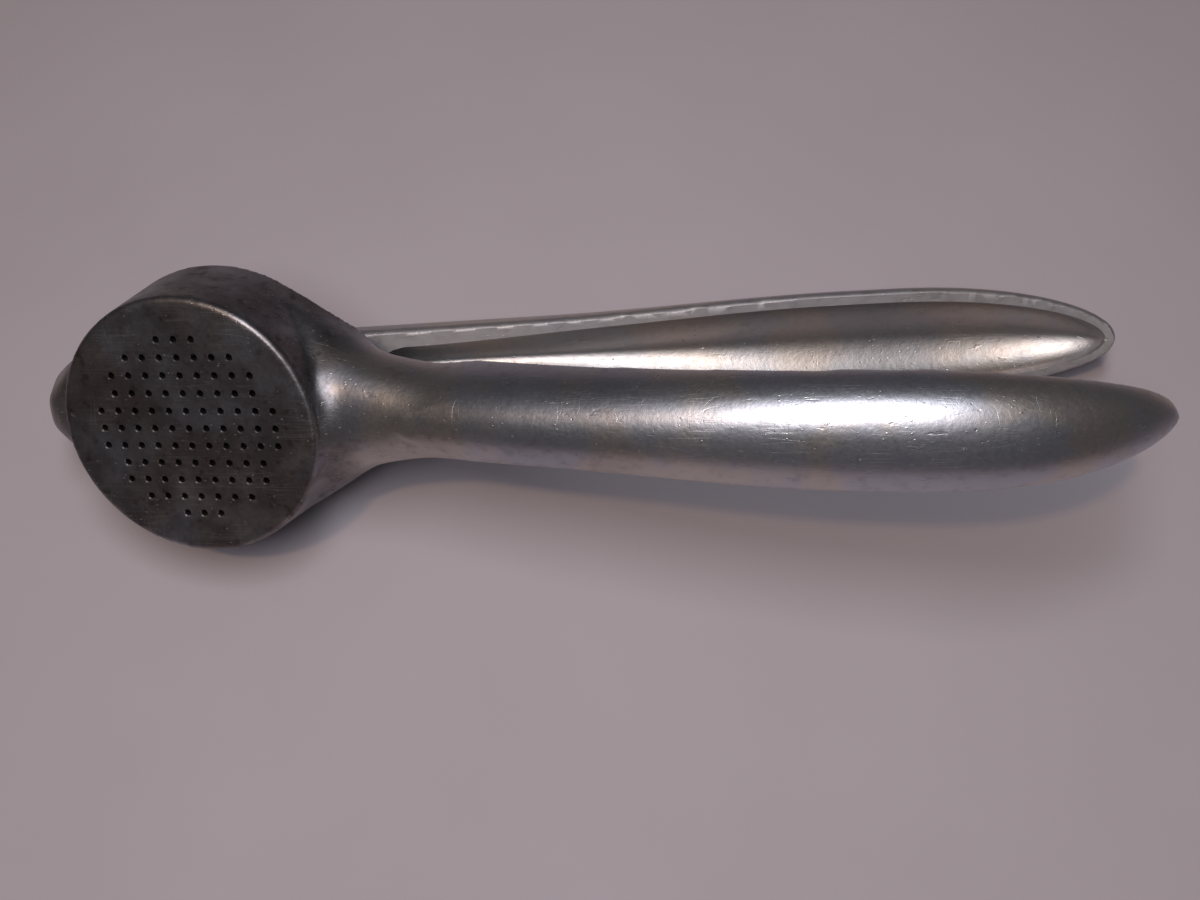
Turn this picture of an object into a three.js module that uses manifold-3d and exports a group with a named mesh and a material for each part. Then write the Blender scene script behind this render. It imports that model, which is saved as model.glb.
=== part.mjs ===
// A hand garlic press of cast aluminium, in millimetres.
//
// It is drawn in the press frame: the middle of the perforated face is the origin, +X runs along
// the handles to their tips, +Y along the hinge pin and +Z out of the face. The lever is drawn
// closed, lying along the hopper handle, and its group is then turned open about the hinge pin.
// At the end the whole press is laid on its side, as it rests on a table, with +Z up.

import * as THREE from 'three';
import * as BufferGeometryUtils from 'three/addons/utils/BufferGeometryUtils.js';
import { ConvexGeometry } from 'three/addons/geometries/ConvexGeometry.js';
import Module from 'manifold-3d';

const wasm = await Module();
wasm.setup();

// ---- Driving dimensions ----

// Cup: a short bucket with a perforated floor
const faceRadius = 20.1;
const mouthRadius = 21.6;
const cupDepth = 15.5;
const faceEdge = 0.8;
const boreRadius = 17;
const sieveThickness = 2;
const holePitch = 2.75;
const holeRadius = 0.6;
const sieveMargin = 2.8;

// Handles: long leaves, hollow on the side that faces the other one
const hopperReach = 140.5;
const hopperNeckHalfWidth = 7.4;
const hopperGripHalfWidth = 8.6;
const leverReach = 144.2;
const leverNeckHalfWidth = 8.2;
const leverGripHalfWidth = 9.5;
const neckEnd = 50;
const gripStart = 100;
const tipLength = 36;
const neckDepth = 13.6;
const gripDepth = 8.6;
const tipDepth = 3.4;
const rimWidth = 2;
const troughWall = 2.2;
const bowStart = 12;
const hopperBow = 12.8;
const leverBow = 4.5;
const tipDrop = 0.64;
const crownFullness = 0.84;
const gussetLength = 5.4;
const hopperTroughInset = 6;
const leverTroughInset = -2;
const headSwell = 12;

// Hinge: a hooded lug on the cup, a tongue on the lever and a pressed-in pin
const hingeOffset = 3;
const hingeRise = 1;
const lugRadius = 5.7;
const lugWidth = 12.5;
const lugBevel = 1.6;
const tongueRadius = 4;
const tongueWidth = 4.9;
const hingePinRadius = 1.6;
const pinEndChamfer = 0.3;
const armDepth = 8;
const armReach = 4;

// Plunger: a disc with a lug, held between two cheeks under the lever
const plungerThickness = 2.4;
const plungerLugWidth = 6;
const cheekThickness = 2.6;
const cheekRadius = 3;
const plungerPinRadius = 1.3;
const pinSetback = 0.7;
const pinRise = 5.8;

// Clearances
const plungerClearance = 1;
const sieveClearance = 0.8;
const mouthClearance = 0.5;
const sideClearance = 0.3;
const pinClearance = 0.1;
const discClearance = 0.5;

// Pose: how far the lever is open, how far the plunger has turned back for each degree of that,
// and how the press lies on the table
const leverOpening = 9.7;
const plungerTurnPerDegree = 0.32;
const restingRoll = 44.92;
const restingPitch = -7.3;

// ---- Places worked out from them ----

const mouthZ = -cupDepth;
const leverFlatZ = mouthZ - mouthClearance;
const hingeX = -(mouthRadius + hingeOffset);
const hingeZ = mouthZ + hingeRise;
const plungerFaceZ = -(sieveThickness + sieveClearance);
const plungerBackZ = plungerFaceZ - plungerThickness;

const neckX = mouthRadius + gussetLength;
const forkGap = plungerLugWidth + 2 * sideClearance;
const slotWidth = tongueWidth + 2 * sideClearance;
const perforatedRadius = boreRadius - sieveMargin;
const bodyStartX = hingeX + lugRadius + sideClearance;

// The plunger pin is as near the disc as its cheeks allow, but never so far above the hinge pin that
// its arc would carry the disc sideways into the bore.
const plungerPinZ = Math.min(plungerBackZ - discClearance - cheekRadius, hingeZ + pinRise);
const plungerPinX = -pinSetback;

// ---- Materials ----

const castAluminium = () =>
  new THREE.MeshStandardMaterial({ color: 0x8f8d8c, roughness: 0.42, metalness: 1, flatShading: true });

const brightAluminium = () =>
  new THREE.MeshStandardMaterial({ color: 0xa6a6a8, roughness: 0.35, metalness: 1, flatShading: true });

const pinSteel = () =>
  new THREE.MeshStandardMaterial({ color: 0x77787b, roughness: 0.3, metalness: 1, flatShading: true });

// ---- Solids ----

// A closed three.js geometry as a solid that can be joined and cut.
function solid(geometry) {
  const bare = geometry.clone();
  bare.deleteAttribute('normal');
  bare.deleteAttribute('uv');
  const merged = BufferGeometryUtils.mergeVertices(bare, 1e-4);
  const corners = merged.index.array;
  const triangles = [];
  for (let i = 0; i < corners.length; i += 3) {
    const [a, b, c] = corners.slice(i, i + 3);
    if (a !== b && b !== c && c !== a) triangles.push(a, b, c);
  }
  return new wasm.Manifold(new wasm.Mesh({
    numProp: 3,
    vertProperties: new Float32Array(merged.attributes.position.array),
    triVerts: new Uint32Array(triangles),
  }));
}

// A finished solid as a named mesh.
function part(name, body, material) {
  const { vertProperties, triVerts } = body.getMesh();
  const geometry = new THREE.BufferGeometry();
  geometry.setAttribute('position', new THREE.BufferAttribute(new Float32Array(vertProperties), 3));
  geometry.setIndex(new THREE.BufferAttribute(new Uint32Array(triVerts), 1));
  geometry.computeVertexNormals();
  const mesh = new THREE.Mesh(geometry, material);
  mesh.name = name;
  return mesh;
}

// A plate drawn from the side, in X and Z, and as thick as width, centred on the plane y = 0.
function plate(outline, width, bevel = 0) {
  const geometry = new THREE.ExtrudeGeometry(outline, {
    depth: width - 2 * bevel,
    curveSegments: 16,
    bevelEnabled: bevel > 0,
    bevelSize: bevel,
    bevelOffset: -bevel,
    bevelThickness: bevel,
    bevelSegments: 2,
  });
  geometry.translate(0, 0, bevel - width / 2);
  geometry.rotateX(Math.PI / 2);
  return geometry;
}

// A round bar along Y whose corners touch the radius.
function barAlongY(radius, length, x, z, sides = 24) {
  const geometry = new THREE.CylinderGeometry(radius, radius, length, sides);
  geometry.translate(x, 0, z);
  return geometry;
}

// A hole along Y whose flats, not its corners, touch the radius, so that a bar turns in it.
function holeAlongY(radius, length, x, z, sides = 24) {
  return barAlongY(radius / Math.cos(Math.PI / sides), length, x, z, sides);
}

// A body that stands on a flat rim and rises to a rounded crown, lofted along X between two places.
// side is +1 for a crown towards +Z and -1 towards -Z; skirt carries it on past the rim.
function lofted(shape, fromX, toX, side, skirt = 0, steps = 22) {
  const geometry = new THREE.CylinderGeometry(1, 1, 1, 20, steps);
  const place = geometry.attributes.position;
  for (let i = 0; i < place.count; i++) {
    const along = Math.sin((place.getY(i) + 0.5) * Math.PI / 2);
    const x = THREE.MathUtils.lerp(fromX, toX, along);
    const across = place.getZ(i);
    const up = place.getX(i);
    const onAxis = Math.hypot(across, up) < 0.5;
    const spread = Math.sign(across) * Math.abs(across) ** crownFullness;
    const crown = shape.depthAt(x) * Math.max(up, 0) ** crownFullness;
    const past = skirt * THREE.MathUtils.clamp(-4 * up, 0, 1);
    const rise = onAxis ? shape.depthAt(x) / 3 : crown - past;
    place.setXYZ(i, x, side * spread * shape.halfWidthAt(x), shape.rimZAt(x) + side * rise);
  }
  return solid(geometry);
}

// ---- Handle outlines ----

// How wide, how deep and how far bowed a handle is at each x. flatZ is its rim's height at the head
// and bow, which has a sign, is how far the rim leaves that height at the grip.
function handleShape(reach, neckHalfWidth, gripHalfWidth, flatZ, bow) {
  const { lerp, clamp, smoothstep } = THREE.MathUtils;
  const intoTip = (x) => clamp((x - (reach - tipLength)) / tipLength, 0, 1);
  const closing = (x) => Math.sqrt(Math.max(1 - intoTip(x) ** 2, 0.0004));
  return {
    closing,
    halfWidthAt: (x) => closing(x) * lerp(neckHalfWidth, gripHalfWidth, smoothstep(x, neckEnd, gripStart)),
    depthAt: (x) => lerp(tipDepth, lerp(neckDepth, gripDepth, smoothstep(x, neckX, gripStart)), closing(x)),
    rimZAt: (x) => flatZ + bow * smoothstep(x, bowStart, gripStart) * (1 - tipDrop * intoTip(x) ** 3),
  };
}

// The hollow inside a handle: the same shape, one rim width in from its edge and its tip.
function hollowOf(handle) {
  return {
    halfWidthAt: (x) => handle.halfWidthAt(x + rimWidth) - rimWidth * handle.closing(x + rimWidth),
    depthAt: (x) => handle.depthAt(x + rimWidth) - troughWall,
    rimZAt: handle.rimZAt,
  };
}

// ---- Hopper: cup, sieve, lug and handle in one casting ----

function ring(radius, z, count = 48) {
  const points = [];
  for (let i = 0; i < count; i++) {
    const turn = (i + 0.5) / count * 2 * Math.PI;
    points.push(new THREE.Vector3(radius * Math.cos(turn), radius * Math.sin(turn), z));
  }
  return points;
}

// The cup's outside and the straight-sided gusset that narrows to the neck.
function cupAndGusset() {
  const points = [
    ...ring(faceRadius - faceEdge, 0),
    ...ring(faceRadius, -faceEdge),
    ...ring(mouthRadius, mouthZ),
  ];
  for (let i = 0; i <= 10; i++) {
    const turn = i / 10 * Math.PI;
    points.push(new THREE.Vector3(
      neckX,
      hopperNeckHalfWidth * Math.cos(turn),
      mouthZ + neckDepth * Math.sin(turn) ** crownFullness));
  }
  return solid(new ConvexGeometry(points));
}

function sieveHoles() {
  const reach = Math.floor(perforatedRadius / holePitch);
  const holes = [];
  for (let i = -reach; i <= reach; i++) {
    for (let j = -reach; j <= reach; j++) {
      if (Math.hypot(i, j) * holePitch > perforatedRadius) continue;
      const hole = new THREE.CylinderGeometry(holeRadius, holeRadius, 2 * sieveThickness, 8);
      hole.rotateX(Math.PI / 2);
      hole.translate(i * holePitch, j * holePitch, -sieveThickness / 2);
      holes.push(solid(hole));
    }
  }
  return wasm.Manifold.compose(holes);
}

const hingePinHole = () =>
  solid(holeAlongY(hingePinRadius + pinClearance, 2 * lugWidth, hingeX, hingeZ));

const plungerPinHole = () =>
  solid(holeAlongY(plungerPinRadius + pinClearance, 2 * lugWidth, plungerPinX, plungerPinZ));

// The hood that covers the hinge, and the slot under it that the tongue turns in.
function hingeLug() {
  const outline = new THREE.Shape();
  outline.absarc(hingeX, hingeZ, lugRadius, 0.55 * Math.PI, 1.75 * Math.PI);
  outline.lineTo(hingeX + lugRadius, mouthZ);
  outline.lineTo(-boreRadius, mouthZ);
  outline.lineTo(-boreRadius, hingeZ + lugRadius + 1);
  return solid(plate(outline, lugWidth, lugBevel));
}

function hingeSlot() {
  const radius = tongueRadius + sideClearance;
  const bottom = hingeZ - 2 * lugRadius;
  const below = new THREE.Shape();
  below.moveTo(hingeX - 2 * lugRadius, hingeZ);
  below.lineTo(hingeX - 2 * lugRadius, bottom);
  below.lineTo(-boreRadius, bottom);
  below.lineTo(-boreRadius, mouthZ);
  below.lineTo(hingeX + radius, mouthZ);
  below.lineTo(hingeX + radius, hingeZ);
  return solid(holeAlongY(radius, slotWidth, hingeX, hingeZ)).add(solid(plate(below, slotWidth)));
}

function cupBore() {
  const bore = new THREE.CylinderGeometry(boreRadius, boreRadius, cupDepth, 64);
  bore.rotateX(Math.PI / 2);
  bore.translate(0, 0, -sieveThickness - cupDepth / 2);
  return solid(bore);
}

function hopper() {
  const handle = handleShape(hopperReach, hopperNeckHalfWidth, hopperGripHalfWidth, mouthZ, hopperBow);
  const troughX = neckX + hopperTroughInset;
  const body = cupAndGusset()
    .add(hingeLug())
    .add(lofted(handle, neckX - gussetLength / 2, hopperReach, 1))
    .subtract(cupBore())
    .subtract(lofted(hollowOf(handle), troughX, hopperReach - rimWidth, 1, 2))
    .subtract(hingeSlot())
    .subtract(hingePinHole())
    .subtract(sieveHoles());
  return part('hopper_handle', body, castAluminium());
}

// ---- Lever: tongue, cheeks and handle in one casting, drawn closed ----

function leverTongue() {
  const eye = solid(barAlongY(tongueRadius, tongueWidth, hingeX, hingeZ));
  const armTop = hingeZ - sideClearance;
  const step = hingeX + tongueRadius;
  const outline = new THREE.Shape();
  outline.moveTo(hingeX, armTop);
  outline.lineTo(step, armTop);
  outline.lineTo(step, leverFlatZ);
  outline.lineTo(bodyStartX + armReach, leverFlatZ);
  outline.lineTo(bodyStartX + armReach, leverFlatZ - armDepth);
  outline.absarc(hingeX, hingeZ, 0.99 * tongueRadius, -0.42 * Math.PI, -0.5 * Math.PI, true);
  return eye.add(solid(plate(outline, tongueWidth)));
}

function leverCheek(side) {
  const rootZ = leverFlatZ - cheekThickness;
  const outline = new THREE.Shape();
  outline.absarc(plungerPinX, plungerPinZ, cheekRadius, 0, Math.PI);
  outline.lineTo(plungerPinX - 2 * cheekRadius, rootZ);
  outline.lineTo(plungerPinX + 2 * cheekRadius, rootZ);
  const cheek = plate(outline, cheekThickness);
  cheek.translate(0, side * (forkGap + cheekThickness) / 2, 0);
  return solid(cheek);
}

// The lever's shape is the handle's, drawn in towards the tongue at the hinge end.
function leverShape() {
  const handle = handleShape(leverReach, leverNeckHalfWidth, leverGripHalfWidth, leverFlatZ, -leverBow);
  const fullAt = (x) => THREE.MathUtils.smoothstep(x, bodyStartX - headSwell / 4, bodyStartX + headSwell);
  return {
    ...handle,
    halfWidthAt: (x) => handle.halfWidthAt(x) * THREE.MathUtils.lerp(0.4, 1, fullAt(x)),
    depthAt: (x) => handle.depthAt(x) * THREE.MathUtils.lerp(0.5, 1, fullAt(x)),
  };
}

function lever() {
  const shape = leverShape();
  const body = lofted(shape, bodyStartX, leverReach, -1, 0, 26)
    .add(leverTongue())
    .add(leverCheek(1))
    .add(leverCheek(-1))
    .subtract(lofted(hollowOf(shape), neckX + leverTroughInset, leverReach - rimWidth, -1, 2))
    .subtract(hingePinHole())
    .subtract(plungerPinHole());
  return part('lever_handle', body, brightAluminium());
}

// ---- Plunger ----

function plunger() {
  const radius = boreRadius - plungerClearance;
  const middleZ = (plungerFaceZ + plungerBackZ) / 2;
  const disc = new THREE.CylinderGeometry(radius, radius, plungerThickness, 64);
  disc.rotateX(Math.PI / 2);
  disc.translate(plungerPinX, 0, middleZ);
  const outline = new THREE.Shape();
  outline.absarc(plungerPinX, plungerPinZ, cheekRadius, Math.PI, 2 * Math.PI);
  outline.lineTo(plungerPinX + 2 * cheekRadius, middleZ);
  outline.lineTo(plungerPinX - 2 * cheekRadius, middleZ);
  const body = solid(disc)
    .add(solid(plate(outline, plungerLugWidth)))
    .subtract(plungerPinHole());
  return part('plunger', body, castAluminium());
}

// ---- Pins, pressed in and level with the casting at both ends ----

function crossPin(name, radius, length, x, z) {
  const inner = radius - pinEndChamfer;
  const half = length / 2;
  const bar = new THREE.LatheGeometry([
    new THREE.Vector2(0, -half),
    new THREE.Vector2(inner, -half),
    new THREE.Vector2(radius, pinEndChamfer - half),
    new THREE.Vector2(radius, half - pinEndChamfer),
    new THREE.Vector2(inner, half),
    new THREE.Vector2(0, half),
  ], 24);
  bar.translate(x, 0, z);
  return part(name, solid(bar), pinSteel());
}

const hingePin = () => crossPin('hinge_pin', hingePinRadius, lugWidth, hingeX, hingeZ);

const plungerPin = () =>
  crossPin('plunger_pin', plungerPinRadius, forkGap + 2 * cheekThickness, plungerPinX, plungerPinZ);

// ---- Assembly ----

// A group that turns its parts about the line along Y through (x, z).
function turnedAboutY(parts, degrees, x, z) {
  const pivot = new THREE.Group();
  const held = new THREE.Group();
  held.position.set(-x, 0, -z);
  held.add(...parts);
  pivot.position.set(x, 0, z);
  pivot.rotation.y = THREE.MathUtils.degToRad(degrees);
  pivot.add(held);
  return pivot;
}

const plungerTurn = -plungerTurnPerDegree * leverOpening;
const turnedPlunger = turnedAboutY([plunger()], plungerTurn, plungerPinX, plungerPinZ);
const openLever = turnedAboutY([lever(), plungerPin(), turnedPlunger], leverOpening, hingeX, hingeZ);

const press = new THREE.Group();
press.add(hopper(), hingePin(), openLever);
press.rotation.order = 'ZYX';
press.rotation.x = THREE.MathUtils.degToRad(restingRoll);
press.rotation.y = THREE.MathUtils.degToRad(restingPitch);

const box = new THREE.Box3().setFromObject(press, true);
const middle = box.getCenter(new THREE.Vector3());
press.position.set(-middle.x, -middle.y, -box.min.z);

const garlicPress = new THREE.Group();
garlicPress.add(press);

export default garlicPress;
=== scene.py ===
# A hand garlic press of cast aluminium, lying on a table.
#
# Each casting is shaped in press coordinates, in millimetres: the middle of the perforated face is
# the origin, +X runs along the handles, +Y along the hinge pin and +Z out of the face. The finished
# casting is then laid in its place in the frame, in metres.

import math
from types import SimpleNamespace

import bmesh
import bpy
from mathutils import Euler, Matrix, Vector


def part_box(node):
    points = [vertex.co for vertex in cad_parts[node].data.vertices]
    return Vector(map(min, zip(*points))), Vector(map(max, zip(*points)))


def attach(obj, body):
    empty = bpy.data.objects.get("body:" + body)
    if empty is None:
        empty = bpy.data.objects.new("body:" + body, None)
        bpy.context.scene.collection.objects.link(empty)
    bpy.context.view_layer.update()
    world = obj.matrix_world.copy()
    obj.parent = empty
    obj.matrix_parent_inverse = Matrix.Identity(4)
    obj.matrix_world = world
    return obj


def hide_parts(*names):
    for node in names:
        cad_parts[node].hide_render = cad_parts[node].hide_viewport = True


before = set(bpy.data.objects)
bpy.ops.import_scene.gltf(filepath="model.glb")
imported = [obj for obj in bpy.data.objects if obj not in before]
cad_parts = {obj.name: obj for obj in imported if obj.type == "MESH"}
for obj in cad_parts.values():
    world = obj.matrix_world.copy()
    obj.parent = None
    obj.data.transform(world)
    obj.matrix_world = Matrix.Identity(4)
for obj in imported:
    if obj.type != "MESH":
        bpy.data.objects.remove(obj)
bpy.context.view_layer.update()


# ---- Hopper: cup, perforated floor, hinge hood and hollow handle ----
# One sand casting in aluminium. The outside is left as cast and has been handled smooth; the bore,
# the hinge slot, the pin hole and the sieve holes are machined into it.

face_radius, mouth_radius, cup_depth = 20.1, 21.6, 15.5
face_edge, bore_radius, sieve_thickness = 0.4, 17.0, 2.0
mouth_z = -cup_depth
hinge_x, hinge_z, lug_radius, lug_width = -24.6, -14.5, 5.7, 12.5

# Both handles
hopper_reach, tip_length = 140.5, 36.0
neck_x, neck_end, grip_start, bow_start = 27.0, 50.0, 100.0, 12.0
neck_depth, grip_depth, tip_depth, tip_drop = 13.6, 8.6, 3.4, 0.64
crown_fullness, trough_fullness = 0.84, 1.15
rim_width, trough_wall = 2.0, 3.2

# The press lies rolled on the cup's rim and the lever's back; its hinge pin gives its place.
pin_low, pin_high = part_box("hinge_pin")
roll, pitch = math.radians(44.92), math.radians(-7.3)
lying = Matrix.Translation((pin_low + pin_high) / 2) @ Euler((roll, pitch, 0)).to_matrix().to_4x4()
as_laid = lying @ Matrix.Scale(0.001, 4) @ Matrix.Translation((-hinge_x, 0, -hinge_z))


def only(piece):
    """Selects one piece and makes it the active one."""
    bpy.ops.object.select_all(action="DESELECT")
    piece.select_set(True)
    bpy.context.view_layer.objects.active = piece
    return piece


def new_piece(name):
    """Names the primitive that was just added, with its turn taken into its mesh."""
    piece = only(bpy.context.object)
    piece.name = piece.data.name = name
    bpy.ops.object.transform_apply(location=True, rotation=True, scale=True)
    return piece


def edit(piece, kind="FACE"):
    only(piece)
    bpy.ops.object.mode_set(mode="EDIT")
    bpy.ops.mesh.select_mode(type=kind)


def done():
    bpy.ops.object.mode_set(mode="OBJECT")


def pick(piece, kind, wanted):
    """In edit mode, selects the verts, edges or faces that wanted() is true of, and no others."""
    mesh = bmesh.from_edit_mesh(piece.data)
    for item in list(mesh.verts) + list(mesh.edges) + list(mesh.faces):
        item.select = False
    for item in getattr(mesh, kind):
        if wanted(item):
            item.select_set(True)
    bmesh.update_edit_mesh(piece.data)


def finish_with(piece, kind, **settings):
    """Adds one modifier to a piece and applies it."""
    only(piece)
    modifier = piece.modifiers.new(kind.title(), kind)
    for name, value in settings.items():
        setattr(modifier, name, value)
    bpy.ops.object.modifier_apply(modifier=modifier.name)
    return piece


def combine(piece, *others, how="UNION"):
    """Joins other solids to a piece, or cuts them out of it, and removes them."""
    for other in others:
        finish_with(piece, "BOOLEAN", operation=how, object=other, solver="MANIFOLD")
        bpy.data.meshes.remove(other.data)
    return piece


def cut(piece, *tools):
    return combine(piece, *tools, how="DIFFERENCE")


def round_bar(name, radius, length, x, z, y=0.0):
    """A bar along Y."""
    bpy.ops.mesh.primitive_cylinder_add(
        vertices=48, radius=radius, depth=length, location=(x, y, z), rotation=(math.pi / 2, 0, 0))
    return new_piece(name)


def block(name, low, high):
    bpy.ops.mesh.primitive_cube_add(
        size=1, location=(Vector(low) + Vector(high)) / 2, scale=Vector(high) - Vector(low))
    return new_piece(name)


def wrapped(name, *solids):
    """The tight skin round several solids, as one solid."""
    only(solids[0])
    for other in solids[1:]:
        other.select_set(True)
    bpy.ops.object.join()
    piece = new_piece(name)
    edit(piece, "VERT")
    bpy.ops.mesh.select_all(action="SELECT")
    bpy.ops.mesh.convex_hull()
    bpy.ops.mesh.select_all(action="SELECT")
    bpy.ops.mesh.normals_make_consistent(inside=False)
    done()
    return piece


def smoothstep(x, low, high):
    t = min(max((x - low) / (high - low), 0), 1)
    return t * t * (3 - 2 * t)


def mix(a, b, t):
    return a + (b - a) * t


def leaf(reach, neck_half_width, grip_half_width, flat_z, bow):
    """How wide and deep a handle is, and how high its rim is, at each x."""
    def into_tip(x):
        return min(max((x - (reach - tip_length)) / tip_length, 0), 1)

    def closing(x):
        return math.sqrt(max(1 - into_tip(x) ** 2, 0.0004))

    def half_width(x):
        return closing(x) * mix(neck_half_width, grip_half_width, smoothstep(x, neck_end, grip_start))

    def depth(x):
        full = mix(neck_depth, grip_depth, smoothstep(x, neck_x, grip_start))
        return mix(tip_depth, full, closing(x))

    def rim(x):
        return flat_z + bow * smoothstep(x, bow_start, grip_start) * (1 - tip_drop * into_tip(x) ** 3)

    return SimpleNamespace(closing=closing, half_width=half_width, depth=depth, rim=rim)


def hollow_of(shape):
    """The trough inside a handle, one rim width in from its edge."""
    return SimpleNamespace(
        half_width=lambda x: shape.half_width(x + rim_width) - rim_width * shape.closing(x + rim_width),
        depth=lambda x: shape.depth(x + rim_width) - trough_wall,
        rim=shape.rim)


def drawn_out(name, shape, from_x, to_x, side, skirt=0.0, steps=110, fullness=crown_fullness):
    """A crowned section drawn out along X ring by ring; side is where its crown is, +1 or -1 in Z.
    A skirt carries its flat side further out, so that it cuts clear of the rim."""
    bpy.ops.mesh.primitive_circle_add(
        vertices=64, radius=1, fill_type="NGON", rotation=(0, math.pi / 2, 0))
    piece = new_piece(name)
    wide, deep, rim = shape.half_width(from_x), shape.depth(from_x), shape.rim(from_x)
    for corner in piece.data.vertices:
        across, up = corner.co.y, max(side * corner.co.z, 0)
        spread = math.copysign(abs(across) ** fullness, across)
        corner.co = (from_x, wide * spread, rim + side * deep * up ** fullness)
    edit(piece)
    bpy.ops.mesh.select_all(action="SELECT")
    x = from_x
    for step in range(1, steps + 1):
        next_x = mix(from_x, to_x, math.sin(step / steps * math.pi / 2))
        next_wide, next_deep = shape.half_width(next_x), shape.depth(next_x)
        next_rim = shape.rim(next_x)
        bpy.ops.mesh.extrude_region_move(
            TRANSFORM_OT_translate={"value": (next_x - x, 0, next_rim - rim)})
        bpy.ops.transform.resize(
            value=(1, next_wide / wide, next_deep / deep), center_override=(next_x, 0, next_rim))
        x, wide, deep, rim = next_x, next_wide, next_deep, next_rim
    bpy.ops.mesh.select_all(action="SELECT")
    bpy.ops.mesh.normals_make_consistent(inside=False)
    if skirt:
        pick(piece, "faces", lambda face: side * face.normal.z < -0.7)
        bpy.ops.mesh.extrude_region_move(TRANSFORM_OT_translate={"value": (0, 0, -side * skirt)})
    done()
    return piece


def cast_skin(piece, grain, rounds):
    """Gives a fused solid one even skin with a casting's soft edges and fillets."""
    finish_with(piece, "REMESH", mode="VOXEL", voxel_size=grain, adaptivity=0)
    soften(piece, lambda co: True, rounds)
    return piece


def soften(piece, where, rounds):
    """Smooths the skin where where() is true of a point."""
    edit(piece, "VERT")
    pick(piece, "verts", lambda vert: where(vert.co))
    bpy.ops.mesh.vertices_smooth(factor=0.5, repeat=rounds)
    done()


def round_rim(piece, shape, from_x):
    """Rounds the outer corner of a handle's rim, which the hand has worn."""
    for margin, rounds in ((2.4, 8), (1.5, 14)):
        soften(piece, lambda co: co.x > from_x and abs(co.z - shape.rim(co.x)) < margin
               and abs(co.y) > shape.half_width(co.x) - margin, rounds)


def hollow_out(piece, shape, from_x, reach, side):
    """Cuts the trough into a handle, with a rounded start by the head, and breaks its edge."""
    narrower_by_head, edge_width, edge_depth = 0.9, 0.4, 0.45
    hollow = hollow_of(shape)
    full_width, full_depth = hollow.half_width, hollow.depth

    def run_in(x):
        return smoothstep(x, from_x - 3, from_x + 9)

    hollow.half_width = lambda x: (
        full_width(x) * run_in(x) - narrower_by_head * (1 - smoothstep(x, neck_x, 60)))
    hollow.depth = lambda x: full_depth(x) * run_in(x)
    broken = SimpleNamespace(
        half_width=lambda x: hollow.half_width(x) + edge_width * shape.closing(x),
        depth=lambda x: edge_depth, rim=shape.rim)
    cut(piece,
        drawn_out("trough", hollow, from_x, reach - rim_width, side, skirt=2, fullness=trough_fullness),
        drawn_out("trough_edge", broken, from_x - edge_width, reach - rim_width + 0.3, side, skirt=2))


def linish(piece, shape, from_x, reach, side):
    """Grinds a handle's rim level, from clear of the head to the tip."""
    belt_half_width, first_depth, more_depth, fade_in = 16.0, 0.02, 0.26, 10
    belt = SimpleNamespace(
        half_width=lambda x: belt_half_width, rim=shape.rim,
        depth=lambda x: first_depth + more_depth * smoothstep(x, from_x, from_x + fade_in))
    cut(piece, drawn_out("belt", belt, from_x, reach + 1, side, skirt=2))


def lay_down(piece, place, crisp=math.radians(32)):
    """Puts a finished piece in its place in the frame."""
    only(piece)
    piece.matrix_world = place
    bpy.ops.object.transform_apply(location=True, rotation=True, scale=True)
    bpy.ops.object.shade_smooth_by_angle(angle=crisp)
    return piece


# The hopper's handle is a little flatter at its neck, and flares where it meets the cup
hopper_neck_half_width, hopper_grip_half_width, hopper_bow = 7.4, 8.6, 12.8
neck_flattening, neck_flare, flare_start, flare_end = 1.1, 1.6, 20, 38
hopper_leaf = leaf(hopper_reach, hopper_neck_half_width, hopper_grip_half_width, mouth_z, hopper_bow)
crown_depth, straight_width = hopper_leaf.depth, hopper_leaf.half_width
hopper_leaf.depth = lambda x: (
    crown_depth(x) - neck_flattening * (1 - smoothstep(x, neck_x, neck_end)))
hopper_leaf.half_width = lambda x: (
    straight_width(x) + neck_flare * (1 - smoothstep(x, flare_start, flare_end)))


def bucket(name, top_z):
    """The cup's outside, from its mouth up to one height."""
    top_radius = mix(face_radius, mouth_radius, top_z / mouth_z)
    bpy.ops.mesh.primitive_cone_add(
        vertices=160, radius1=mouth_radius, radius2=top_radius, depth=top_z - mouth_z,
        location=(0, 0, (top_z + mouth_z) / 2))
    return new_piece(name)


# Cup, and the web that leaves it just under the face and narrows to the neck in two slopes
web_top_z, web_foot_z, web_top_radius, web_middle_radius, web_tail_x = -5, -11.5, 10, 12.5, 34
hopper = bucket("hopper_casting", 0)
edit(hopper, "EDGE")
pick(hopper, "edges", lambda edge: all(vert.co.z > -0.01 for vert in edge.verts))
bpy.ops.mesh.bevel(offset=face_edge, segments=4, profile=0.5)
done()
bpy.ops.mesh.primitive_cylinder_add(
    vertices=64, radius=web_top_radius, depth=1, location=(0, 0, web_top_z))
web = wrapped("web", new_piece("web_top"), bucket("web_root", web_foot_z),
              drawn_out("web_end", hopper_leaf, neck_x, neck_x + 0.5, 1, steps=1))
bpy.ops.mesh.primitive_cylinder_add(
    vertices=64, radius=web_middle_radius, depth=4, location=(0, 0, web_top_z - 4))
web_tail = wrapped("web_tail", new_piece("web_middle"),
                   drawn_out("web_tail_end", hopper_leaf, web_tail_x, web_tail_x + 0.5, 1, steps=1))

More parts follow.
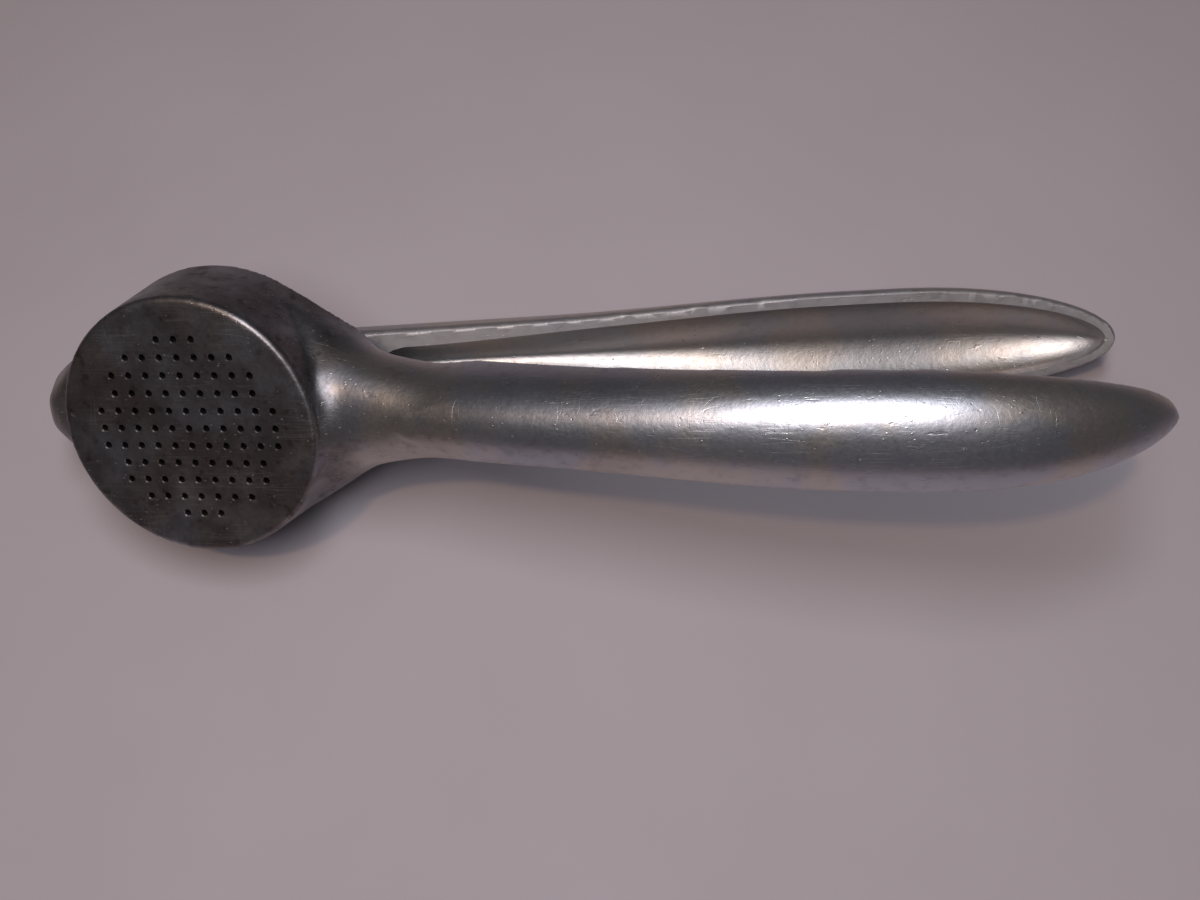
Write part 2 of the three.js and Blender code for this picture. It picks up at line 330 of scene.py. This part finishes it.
# Hood over the hinge: a round lug, a smaller brow above it and a broad root on the cup's wall
brow_radius, brow_width, brow_x, brow_z = 4.3, 10.0, hinge_x + 0.8, hinge_z + 4.9
hood_root_half_width = 12
hood = round_bar("hood", lug_radius, lug_width, hinge_x, hinge_z)
hood_brow = round_bar("hood_brow", brow_radius, brow_width, brow_x, brow_z)
hood_back = block("hood_back", (hinge_x, -lug_width / 2, mouth_z),
                  (-bore_radius - 1, lug_width / 2, hinge_z + lug_radius + 2))
hood_root = block("hood_root", (-bore_radius, -hood_root_half_width, mouth_z + 5),
                  (-bore_radius + 1, hood_root_half_width, hinge_z + 9.5))
for piece, wide, rounding in ((hood, lug_width, 5.2), (hood_brow, brow_width, 4.0),
                              (hood_back, lug_width, 4.0)):
    edit(piece, "EDGE")
    pick(piece, "edges", lambda edge: abs(edge.verts[0].co.y + edge.verts[1].co.y) > wide - 0.01)
    bpy.ops.mesh.bevel(offset=rounding, segments=8, profile=0.5)
    done()

handle = drawn_out("handle", hopper_leaf, bore_radius + 1, hopper_reach, 1)
combine(hopper, web, web_tail, wrapped("hood", hood, hood_brow, hood_root), hood_back, handle)
cast_skin(hopper, 0.45, 3)
round_rim(hopper, hopper_leaf, 24)

# Fillets, round the neck and where the hood leaves the cup
for reach, rounds in ((13, 30), (11, 50), (9, 70)):
    soften(hopper, lambda co: abs(co.x - 29) < reach and mouth_z + 0.9 < co.z < -1.1, rounds)
for reach, rounds in ((4.8, 10), (3.6, 16), (2.4, 20)):
    soften(hopper, lambda co: abs(co.x + 21) < reach and abs(co.y) < 12 and co.z > mouth_z + 0.5
           and math.hypot(co.x, co.y) > 19.8 and co.z < -3, rounds)
linish(hopper, hopper_leaf, neck_x, hopper_reach, 1)
hollow_out(hopper, hopper_leaf, neck_x + 6, hopper_reach, 1)

# Machined places: bore with a broken edge, hinge slot, pin hole and sieve
bpy.ops.mesh.primitive_cylinder_add(
    vertices=128, radius=bore_radius, depth=cup_depth,
    location=(0, 0, -sieve_thickness - cup_depth / 2))
bore = new_piece("bore")
edit(bore)
pick(bore, "faces", lambda face: face.normal.z < -0.9)
bpy.ops.transform.translate(value=(0, 0, mouth_z + 0.5 + sieve_thickness + cup_depth))
bpy.ops.mesh.extrude_region_move(TRANSFORM_OT_translate={"value": (0, 0, -0.5)})
bpy.ops.transform.resize(value=(1.03, 1.03, 1), center_override=(0, 0, mouth_z))
bpy.ops.mesh.extrude_region_move(TRANSFORM_OT_translate={"value": (0, 0, -2)})
done()

slot_half, slot_radius, slot_lip, hinge_hole_radius = 2.75, 4.3, 1.2, 1.68
slot_eye = round_bar("slot_eye", slot_radius, 2 * slot_half, hinge_x, hinge_z)
slot_open = block("slot_open", (hinge_x - 9, -slot_half, hinge_z - 9),
                  (hinge_x + slot_radius, slot_half, hinge_z + slot_lip))
slot_tail = block("slot_tail", (hinge_x, -slot_half, hinge_z - 9), (-bore_radius, slot_half, mouth_z))
pin_hole = round_bar("pin_hole", hinge_hole_radius, 2 * lug_width, hinge_x, hinge_z)
cut(hopper, bore, slot_eye, slot_open, slot_tail, pin_hole)

hole_pitch, hole_radius, sieve_radius, countersink = 2.75, 0.5, 14.2, 1.36
bpy.ops.mesh.primitive_cylinder_add(vertices=14, radius=hole_radius, depth=2.6, location=(0, 0, -1.5))
punch = new_piece("punch")
edit(punch)
pick(punch, "faces", lambda face: face.normal.z > 0.9)
bpy.ops.mesh.extrude_region_move(TRANSFORM_OT_translate={"value": (0, 0, 0.24)})
bpy.ops.transform.resize(value=(countersink, countersink, 1), center_override=(0, 0, 0.04))
bpy.ops.mesh.extrude_region_move(TRANSFORM_OT_translate={"value": (0, 0, 1)})
done()
rows = math.floor(sieve_radius / hole_pitch)
punches = []
for column in range(-rows, rows + 1):
    for row in range(-rows, rows + 1):
        if math.hypot(column, row) * hole_pitch <= sieve_radius:
            copy = punch.copy()
            copy.data = punch.data.copy()
            copy.location = (column * hole_pitch, row * hole_pitch, 0)
            bpy.context.collection.objects.link(copy)
            punches.append(copy)
bpy.data.meshes.remove(punch.data)
bpy.ops.object.select_all(action="DESELECT")
for copy in punches:
    copy.select_set(True)
bpy.context.view_layer.objects.active = punches[0]
bpy.ops.object.join()
cut(hopper, new_piece("sieve_punches"))
casting_crisp = math.radians(26.5)
lay_down(hopper, as_laid, casting_crisp)


class Wire:
    """A value, colour or vector in a material; sums on wires add the nodes that work them out."""

    def __init__(self, tree, socket=None):
        self.tree, self.socket = tree, socket

    def node(self, kind, settings=None, inputs=None, output=0):
        """Adds a node: its settings first, then the value or wire of each socket."""
        made = self.tree.nodes.new(kind)
        for name, value in (settings or {}).items():
            setattr(made, name, value)
        for name, value in (inputs or {}).items():
            if isinstance(value, Wire):
                self.tree.links.new(value.socket, made.inputs[name])
            else:
                made.inputs[name].default_value = value
        return Wire(self.tree, made.outputs[output])

    def maths(self, operation, *values):
        return self.node("ShaderNodeMath", {"operation": operation}, dict(enumerate(values)))

    def __add__(self, other):
        return self.maths("ADD", self, other)

    def __sub__(self, other):
        return self.maths("SUBTRACT", self, other)

    def __rsub__(self, other):
        return self.maths("SUBTRACT", other, self)

    def __mul__(self, other):
        return self.maths("MULTIPLY", self, other)

    def __abs__(self):
        return self.maths("ABSOLUTE", self)

    __radd__, __rmul__ = __add__, __mul__

    def rising(self, low, high):
        """0 below low, 1 above high and smooth between; falling where low is above high."""
        return self.node("ShaderNodeMapRange", {"interpolation_type": "SMOOTHSTEP"},
                         {"Value": self, "From Min": low, "From Max": high})

    def stretched(self, scale, turn=(0, 0, 0)):
        return self.node("ShaderNodeMapping", {"vector_type": "POINT"},
                         {"Vector": self, "Scale": scale, "Rotation": turn})

    def noise(self, scale, detail=2.0, rough=0.5):
        return self.node("ShaderNodeTexNoise", None,
                         {"Vector": self, "Scale": scale, "Detail": detail, "Roughness": rough})

    def blended(self, first, second):
        """Two colours mixed by this value."""
        return self.node("ShaderNodeMix", {"data_type": "RGBA"},
                         {"Factor": self, 6: first, 7: second}, output=2)


def worn_metal(name, place, clean, warm, stained, stain, gloss, scratching=1.0, scuff=None):
    """Handled metal, cool or warm in slow patches, with stains and a dull film, hairlines, dents, pits
    and a soft grain. stain() gives the film's strength, scuff() where an edge is scuffed matt and
    pale, and gloss is the roughness clean and stained."""
    material = bpy.data.materials.new(name)
    material.use_nodes = True
    tree = material.node_tree
    shader = tree.nodes["Principled BSDF"]
    start = Wire(tree)
    location, turn, scale = place.decompose()
    point = start.node("ShaderNodeMapping", {"vector_type": "TEXTURE"}, {
        "Vector": start.node("ShaderNodeTexCoord", output="Object"),
        "Location": location, "Rotation": turn.to_euler(), "Scale": scale})
    x, y, z = (point.node("ShaderNodeSeparateXYZ", None, {"Vector": point}, output=axis)
               for axis in range(3))

    blotches = point.noise(0.11, 4, 0.6)
    mottle = point.noise(0.55, 3, 0.55)
    grain = point.noise(1.9, 2, 0.6)
    film = (stain(x, y, z) * (blotches.rising(0.2, 0.62) * 0.55 + 0.45)
            + mottle.rising(0.5, 0.78) * 0.22)

    # Hairlines run mostly along the handle; each set is broken up by its own slow noise
    hairlines = None
    for stretch, angle, width in (((0.03, 0.9, 0.9), 0.0, 0.016), ((0.06, 0.5, 0.5), 0.35, 0.009),
                                  ((0.45, 0.05, 0.3), 0.2, 0.007)):
        line = abs(point.stretched(stretch, (0, 0, angle)).noise(1.0, 1.5) - 0.5).rising(width, 0)
        line = line * point.stretched((1, 1, 1), (angle, 0.3, 1)).noise(0.16, 1).rising(0.46, 0.62)
        hairlines = line if hairlines is None else hairlines + line

    dents = point.stretched((0.35, 1, 1)).noise(0.75, 3, 0.6).rising(0.63, 0.74)
    flecks = point.node("ShaderNodeTexVoronoi", None, {
        "Vector": point.stretched((0.6, 1, 1)), "Scale": 1.3})
    flecks = flecks.rising(0.2, 0.08) * point.noise(0.45, 2).rising(0.48, 0.6)
    pits = point.node("ShaderNodeTexVoronoi", None, {"Vector": point, "Scale": 0.7}).rising(0.13, 0.05)
    pits = pits * point.noise(0.3, 1).rising(0.5, 0.62)

    scratch_colour, pit_colour = (0.72, 0.71, 0.7, 1), (0.10, 0.09, 0.085, 1)
    scuff_colour = (0.56, 0.545, 0.575, 1)
    warm_patches = point.noise(0.045, 3, 0.6).rising(0.46, 0.58)
    colour = film.blended(warm_patches.blended(clean, warm), stained)
    colour = (hairlines * 0.14 * scratching + flecks * 0.4).blended(colour, scratch_colour)
    colour = (pits * 0.55).blended(colour, pit_colour)
    roughness = film * (gloss[1] - gloss[0]) + gloss[0] + (grain - 0.5) * 0.12 + (mottle - 0.5) * 0.1
    if scuff:
        scuffed = scuff(x, y, z) * (mottle.rising(0.3, 0.6) * 0.3 + 0.7)
        colour = (scuffed * 0.8).blended(colour, scuff_colour)
        roughness = roughness + scuffed * 0.2
    height = (grain * 0.014 + mottle * 0.034 + blotches * 0.06
              - hairlines * 0.006 * scratching - dents * 0.022 - pits * 0.025 + flecks * 0.02)
    bump = start.node("ShaderNodeBump", None, {"Height": height, "Distance": 0.001, "Strength": 1.0})

    tree.links.new(colour.socket, shader.inputs["Base Color"])
    tree.links.new(roughness.socket, shader.inputs["Roughness"])
    tree.links.new(bump.socket, shader.inputs["Normal"])
    shader.inputs["Metallic"].default_value = 1
    return material


def dress(piece, material):
    piece.data.materials.clear()
    piece.data.materials.append(material)


def cup_film_and_painted_hood_light(x, y, z):
    """The cup and its face have stayed in use-brown film; the handle is rubbed clean by the hand. The
    hood gets less film and so a lighter colour: painted light where a warm light from the left falls on
    it.
    """
    # The thinner film on the hood, below x = -19, is painted light from the left, not wear
    return x.rising(27, 19) * (x.rising(-26, -19) * 0.35 + 0.27) + x.rising(76, 62) * 0.25


dress(hopper, worn_metal(
    "worn_hopper_aluminium", as_laid, (0.50, 0.51, 0.57, 1), (0.58, 0.53, 0.50, 1),
    (0.1, 0.08, 0.078, 1), cup_film_and_painted_hood_light, (0.375, 0.43)))
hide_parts("hopper_handle")
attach(hopper, "hopper")


# ---- Hinge pin ----
# A plain steel pin pressed through the hood and filed level with it, so that nothing stands out.

def cross_pin(name, radius, length, x, z):
    pin = round_bar(name, radius, length, x, z)
    edit(pin, "EDGE")
    pick(pin, "edges", lambda edge: abs(edge.verts[0].co.y + edge.verts[1].co.y) > length - 0.01)
    bpy.ops.mesh.bevel(offset=0.3, segments=3, profile=0.5)
    for end in (-1, 1):
        pick(pin, "faces", lambda face: end * face.normal.y > 0.9 and face.calc_area() > radius)
        bpy.ops.mesh.select_mode(type="FACE")
        bpy.ops.mesh.inset(thickness=radius * 0.55)
        bpy.ops.transform.translate(value=(0, -end * 0.12, 0))
    done()
    return pin


def steel_film(x, y, z):
    return (abs(y) - 2.0).rising(0, 4) * 0.4


hinge_pin = lay_down(cross_pin("hinge_pin_steel", 1.6, lug_width, hinge_x, hinge_z), as_laid)
dress(hinge_pin, worn_metal(
    "pin_steel", as_laid, (0.42, 0.42, 0.43, 1), (0.44, 0.42, 0.40, 1), (0.22, 0.2, 0.19, 1),
    steel_film, (0.3, 0.45)))
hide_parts("hinge_pin")
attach(hinge_pin, "hopper")


# ---- Lever: tongue, two cheeks and hollow handle ----
# The second sand casting. Its tongue turns on the hinge pin inside the hood and its cheeks hold the
# plunger. It is drawn closed and then swung open about the hinge pin.

lever_opening, lever_reach = math.radians(9.7), 144.2
lever_flat_z, lever_bow, body_start_x, head_swell = mouth_z - 0.5, -4.5, -18.6, 12.0
tongue_radius, tongue_width, arm_depth, arm_reach = 4.0, 4.9, 8.0, 4.0
plunger_pin_x, plunger_pin_z = -0.7, -8.7
cheek_radius, cheek_thickness, fork_gap, plunger_hole_radius = 3.0, 2.6, 6.6, 1.38


def swung(place, degrees, x, z):
    """A place turned about the line along Y through x, z."""
    return (place @ Matrix.Translation((x, 0, z)) @ Matrix.Rotation(degrees, 4, "Y")
            @ Matrix.Translation((-x, 0, -z)))


def lever_leaf():
    """The lever's handle is the hopper's shape, drawn in towards its tongue at the hinge end."""
    shape = leaf(lever_reach, 8.2, 9.5, lever_flat_z, lever_bow)
    wide, deep = shape.half_width, shape.depth

    def full(x):
        return smoothstep(x, body_start_x - head_swell / 4, body_start_x + head_swell)

    shape.half_width = lambda x: wide(x) * mix(0.4, 1, full(x))
    shape.depth = lambda x: deep(x) * mix(0.5, 1, full(x))
    return shape


lever_shape = lever_leaf()
lever = drawn_out("lever_casting", lever_shape, body_start_x, lever_reach, -1)
tongue = round_bar("tongue", tongue_radius, tongue_width, hinge_x, hinge_z)
tongue_top = block("tongue_top", (hinge_x, -tongue_width / 2, hinge_z - 3.5),
                   (hinge_x + tongue_radius, tongue_width / 2, hinge_z - 0.3))
arm = block("arm", (hinge_x, -tongue_width / 2, lever_flat_z - arm_depth),
            (body_start_x + arm_reach, tongue_width / 2, lever_flat_z))
edit(arm, "VERT")
pick(arm, "verts", lambda vert: vert.co.x < hinge_x + 0.1 and vert.co.z < lever_flat_z - 1)
bpy.ops.transform.translate(value=(0, 0, arm_depth + hinge_z - tongue_radius - lever_flat_z + 0.04))
done()
cheeks = []
for side in (-1, 1):
    middle = side * (fork_gap + cheek_thickness) / 2
    top = round_bar("cheek_top", cheek_radius, cheek_thickness, plunger_pin_x, plunger_pin_z, y=middle)
    root = block("cheek_root",
                 (plunger_pin_x - 2 * cheek_radius, middle - cheek_thickness / 2, lever_flat_z - 2.6),
                 (plunger_pin_x + 2 * cheek_radius, middle + cheek_thickness / 2, lever_flat_z - 2.4))
    cheeks.append(wrapped("cheek", top, root))
combine(lever, tongue, tongue_top, arm, *cheeks)
cast_skin(lever, 0.42, 3)
round_rim(lever, lever_shape, 12)
linish(lever, lever_shape, 12, lever_reach, -1)
hollow_out(lever, lever_shape, neck_x - 9, lever_reach, -1)
cut(lever, round_bar("pin_hole", hinge_hole_radius, 2 * lug_width, hinge_x, hinge_z),
    round_bar("pin_hole", plunger_hole_radius, 2 * lug_width, plunger_pin_x, plunger_pin_z))
lever_place = swung(as_laid, lever_opening, hinge_x, hinge_z)
lay_down(lever, lever_place, casting_crisp)


def lever_film(x, y, z):
    return x.rising(40, 0) * 0.6 + x.rising(70, 150) * 0.15


def lever_rim(x, y, z):
    """The level edge round the trough, ground flat and then scuffed in use."""
    into_tip = x.maths("MAXIMUM", x - (lever_reach - tip_length), 0) * (1 / tip_length)
    height = (1 - into_tip * into_tip * into_tip * tip_drop) * x.rising(bow_start, grip_start)
    return (z - (height * lever_bow + lever_flat_z)).rising(-1.5, -0.7)


dress(lever, worn_metal(
    "bright_lever_aluminium", lever_place, (0.47, 0.46, 0.475, 1), (0.53, 0.48, 0.45, 1),
    (0.2, 0.17, 0.155, 1), lever_film, (0.40, 0.46), scratching=0.7, scuff=lever_rim))
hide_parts("lever_handle")
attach(lever, "lever")


# ---- Plunger pin ----
# A shorter steel pin, pressed through the two cheeks and level with their outsides.

plunger_pin = lay_down(
    cross_pin("plunger_pin_steel", 1.3, fork_gap + 2 * cheek_thickness, plunger_pin_x, plunger_pin_z),
    lever_place)
dress(plunger_pin, bpy.data.materials["pin_steel"])
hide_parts("plunger_pin")
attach(plunger_pin, "lever")


# ---- Plunger ----
# A cast aluminium disc with a lug on its back, turned to fit the bore. It rocks on its pin between
# the cheeks, so that the cup's wall keeps it square while it goes down.

plunger_radius, plunger_thickness, plunger_lug_width = 16.0, 2.4, 6.0
plunger_middle_z = -4.0
bpy.ops.mesh.primitive_cylinder_add(
    vertices=128, radius=plunger_radius, depth=plunger_thickness,
    location=(plunger_pin_x, 0, plunger_middle_z))
plunger = new_piece("plunger_casting")
edit(plunger, "EDGE")
pick(plunger, "edges", lambda edge: abs(edge.verts[0].co.z - edge.verts[1].co.z) < 0.01)
bpy.ops.mesh.bevel(offset=0.35, segments=3, profile=0.5)
pick(plunger, "faces", lambda face: face.normal.z > 0.9 and face.calc_area() > 100)
bpy.ops.mesh.select_mode(type="FACE")
for ring_step in (1.2, 2.2, 2.2, 2.2):
    bpy.ops.mesh.inset(thickness=ring_step)
    bpy.ops.mesh.inset(thickness=0.15)
    bpy.ops.transform.translate(value=(0, 0, -0.06))
    bpy.ops.mesh.inset(thickness=0.15)
    bpy.ops.transform.translate(value=(0, 0, 0.06))
done()
lug_end = round_bar("lug_end", cheek_radius, plunger_lug_width, plunger_pin_x, plunger_pin_z)
lug_root = block("lug_root", (plunger_pin_x - 6, -plunger_lug_width / 2, plunger_middle_z - 0.6),
                 (plunger_pin_x + 6, plunger_lug_width / 2, plunger_middle_z))
combine(plunger, wrapped("lug", lug_end, lug_root))
cut(plunger,
    round_bar("pin_hole", plunger_hole_radius, 2 * lug_width, plunger_pin_x, plunger_pin_z))
plunger_place = swung(lever_place, -0.32 * lever_opening, plunger_pin_x, plunger_pin_z)
lay_down(plunger, plunger_place)


def plunger_film(x, y, z):
    return z.rising(-7, -3) * 0.5 + 0.25


dress(plunger, worn_metal(
    "worn_plunger_aluminium", plunger_place, (0.49, 0.49, 0.50, 1), (0.52, 0.49, 0.46, 1),
    (0.24, 0.21, 0.19, 1), plunger_film, (0.3, 0.45)))
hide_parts("plunger")
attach(plunger, "plunger")


# ---- Table, light and camera ----
# A plain pale table under a soft oblong light, with a small warm lamp high above it and a dim,
# even room. The camera looks down on the press from the side of its handles.

bpy.ops.mesh.primitive_plane_add(size=3.0, location=(0, 0, 0))
table = new_piece("table")
surface = bpy.data.materials.new("pale_table")
surface.use_nodes = True
start = Wire(surface.node_tree)
weave = start.node("ShaderNodeTexNoise", None, {
    "Vector": start.node("ShaderNodeTexCoord", output="Object"), "Scale": 25.0, "Detail": 4.0})
tint = weave.rising(0.2, 0.8).blended((0.535, 0.485, 0.535, 1), (0.56, 0.51, 0.56, 1))
matt = surface.node_tree.nodes["Principled BSDF"]
surface.node_tree.links.new(tint.socket, matt.inputs["Base Color"])
matt.inputs["Roughness"].default_value = 0.85
matt.inputs["Specular IOR Level"].default_value = 0.2
dress(table, surface)


def soft_light(name, towards, distance, size, power, colour=(1, 1, 1)):
    """An oblong light that faces the middle of the press from one direction."""
    bpy.ops.object.light_add(type="AREA", location=Vector(towards).normalized() * distance)
    light = bpy.context.object
    light.name = name
    light.data.shape = "RECTANGLE"
    light.data.size, light.data.size_y = size
    light.data.energy, light.data.color = power, colour
    light.rotation_euler = Vector(towards).to_track_quat("Z", "Y").to_euler()


soft_light("main_light", (-0.006, -0.055, 0.320), 0.34, (0.07, 0.25), 0.57, (0.97, 0.97, 1))
soft_light("ceiling_lamp", (-0.17, -0.25, 0.95), 1.2, (0.06, 0.06), 1.6, (1, 0.62, 0.32))

world = bpy.data.worlds.new("room")
world.use_nodes = True
even_light = world.node_tree.nodes["Background"]
even_light.inputs["Color"].default_value = (0.75, 0.74, 0.8, 1)
even_light.inputs["Strength"].default_value = 0.085
bpy.context.scene.world = world
bpy.context.scene.view_settings.view_transform = "Standard"

bpy.ops.object.camera_add(location=(0.014357, -0.083490, 0.187053))
camera = bpy.context.object
camera.name = "camera"
camera.rotation_euler = Matrix((
    (0.996390, -0.061646, 0.058370),
    (0.079980, 0.912189, -0.401889),
    (-0.028470, 0.405107, 0.913826))).to_euler()
camera.data.lens, camera.data.sensor_width, camera.data.clip_start = 36, 36, 0.01
bpy.context.scene.camera = camera
